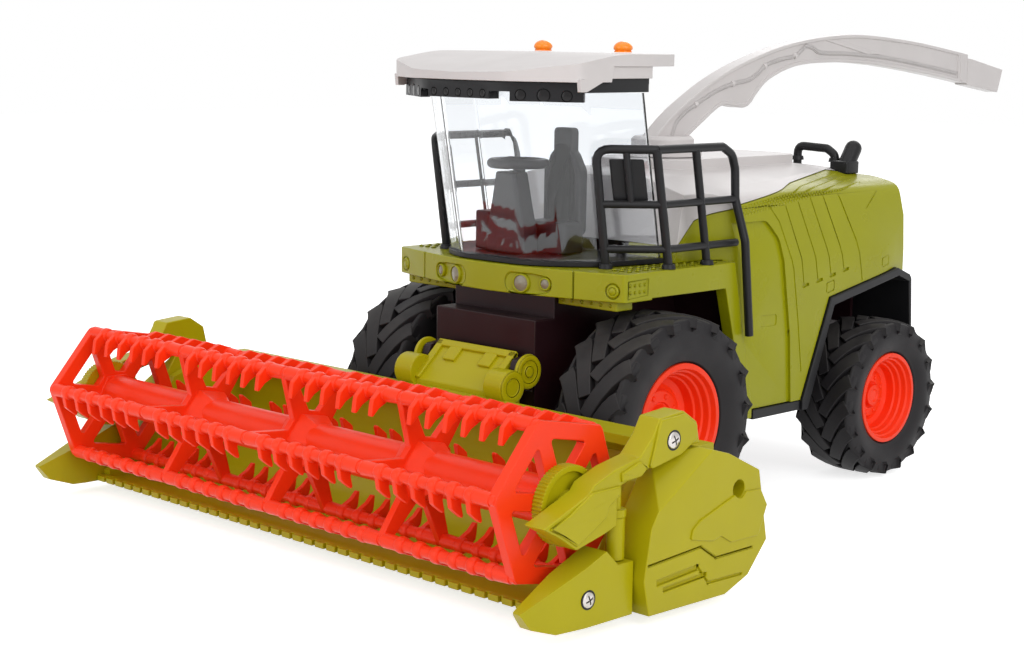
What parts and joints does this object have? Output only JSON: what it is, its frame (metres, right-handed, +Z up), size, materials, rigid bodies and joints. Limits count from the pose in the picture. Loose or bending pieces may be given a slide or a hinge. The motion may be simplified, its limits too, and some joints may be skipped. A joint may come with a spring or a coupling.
{
  "type": "toy combine harvester",
  "caption": "Toy combine harvester with a glass cab, curved discharge spout, lifting grain header with a turning reel, and steered rear wheels.",
  "frame": {"origin": "centre of the machine's footprint on the floor, under the middle of its overall length and width", "axes": "+Z up, -Y towards the header at the front, +X towards the machine's left side"},
  "size_m": [0.262, 0.4472, 0.1724],
  "materials": {
    "body_green": "satin lime green moulded plastic",
    "header_green": "satin olive green moulded plastic",
    "light_grey": "satin light grey moulded plastic",
    "black_plastic": "semi-matt black moulded plastic",
    "dark_interior": "matt dark grey moulded plastic",
    "clear_glass": "clear moulded plastic",
    "amber_lens": "glossy amber plastic",
    "tyre": "matt rubber",
    "orange_plastic": "satin red-orange moulded plastic"
  },
  "bodies": {
    "chassis": {"chassis_frame": "black_plastic", "front_axle": "black_plastic", "rear_axle": "black_plastic", "battery_box": "dark_interior", "hood_shell": "body_green", "hood_cover": "light_grey", "rear_arch_left": "black_plastic", "rear_arch_right": "black_plastic", "running_board_left": "black_plastic", "running_board_right": "black_plastic", "front_deck": "body_green", "cab_floor": "dark_interior", "cab_glass": "clear_glass", "roof_frame": "black_plastic", "cab_roof": "light_grey", "beacon_left": "amber_lens", "beacon_right": "amber_lens", "driver_seat": "dark_interior", "control_console": "dark_interior", "steering_wheel": "dark_interior", "railing_left": "black_plastic", "railing_right": "black_plastic", "mirror_left": "black_plastic", "mirror_right": "black_plastic", "turret_ring": "light_grey", "exhaust_pipe": "black_plastic", "rear_handle": "black_plastic"},
    "spout": {"discharge_spout": "light_grey", "spout_flap": "light_grey"},
    "wheel_front_left": {"front_tyre_left": "tyre", "front_rim_left": "orange_plastic"},
    "wheel_front_right": {"front_tyre_right": "tyre", "front_rim_right": "orange_plastic"},
    "steer_left": {"knuckle_left": "black_plastic"},
    "steer_right": {"knuckle_right": "black_plastic"},
    "wheel_rear_left": {"rear_tyre_left": "tyre", "rear_rim_left": "orange_plastic"},
    "wheel_rear_right": {"rear_tyre_right": "tyre", "rear_rim_right": "orange_plastic"},
    "header": {"feeder_house": "header_green", "header_trough": "header_green", "cutter_bar": "header_green", "side_cover_left": "header_green", "side_cover_right": "header_green", "divider_left": "header_green", "divider_right": "header_green", "reel_arm_left": "header_green", "reel_arm_right": "header_green", "reel_post_left": "header_green", "reel_post_right": "header_green"},
    "reel": {"reel": "orange_plastic", "reel_bar_1": "orange_plastic", "reel_bar_2": "orange_plastic", "reel_bar_3": "orange_plastic", "reel_bar_4": "orange_plastic", "reel_bar_5": "orange_plastic", "reel_bar_6": "orange_plastic", "reel_disc_left": "header_green", "reel_disc_right": "header_green"}
  },
  "joints": [
    {"name": "front_left_spin", "type": "hinge", "parent": "chassis", "child": "wheel_front_left", "pos_m": [0.054, -0.085, 0.0381], "axis": [1, 0, 0], "continuous": true},
    {"name": "front_right_spin", "type": "hinge", "parent": "chassis", "child": "wheel_front_right", "pos_m": [-0.054, -0.085, 0.0381], "axis": [1, 0, 0], "continuous": true},
    {"name": "rear_left_steer", "type": "hinge", "parent": "chassis", "child": "steer_left", "pos_m": [0.046, 0.044, 0.0311], "axis": [0, 0, 1], "range_deg": [-20, 20]},
    {"name": "rear_right_steer", "type": "hinge", "parent": "chassis", "child": "steer_right", "pos_m": [-0.046, 0.044, 0.0311], "axis": [0, 0, 1], "range_deg": [-20, 20]},
    {"name": "rear_left_spin", "type": "hinge", "parent": "steer_left", "child": "wheel_rear_left", "pos_m": [0.05475, 0.044, 0.0311], "axis": [1, 0, 0], "continuous": true},
    {"name": "rear_right_spin", "type": "hinge", "parent": "steer_right", "child": "wheel_rear_right", "pos_m": [-0.05475, 0.044, 0.0311], "axis": [1, 0, 0], "continuous": true},
    {"name": "spout_swing", "type": "hinge", "parent": "chassis", "child": "spout", "pos_m": [0, -0.02, 0.1285], "axis": [0, 0, 1], "range_deg": [-90, 90]},
    {"name": "header_lift", "type": "hinge", "parent": "chassis", "child": "header", "pos_m": [0, -0.1195, 0.055], "axis": [-1, 0, 0], "range_deg": [0, 15]},
    {"name": "reel_spin", "type": "hinge", "parent": "header", "child": "reel", "pos_m": [0, -0.1965, 0.0373], "axis": [1, 0, 0], "continuous": true}
  ],
  "couplings": [
    {"joint": "rear_right_steer", "follows": "rear_left_steer", "ratio": 1}
  ]
}
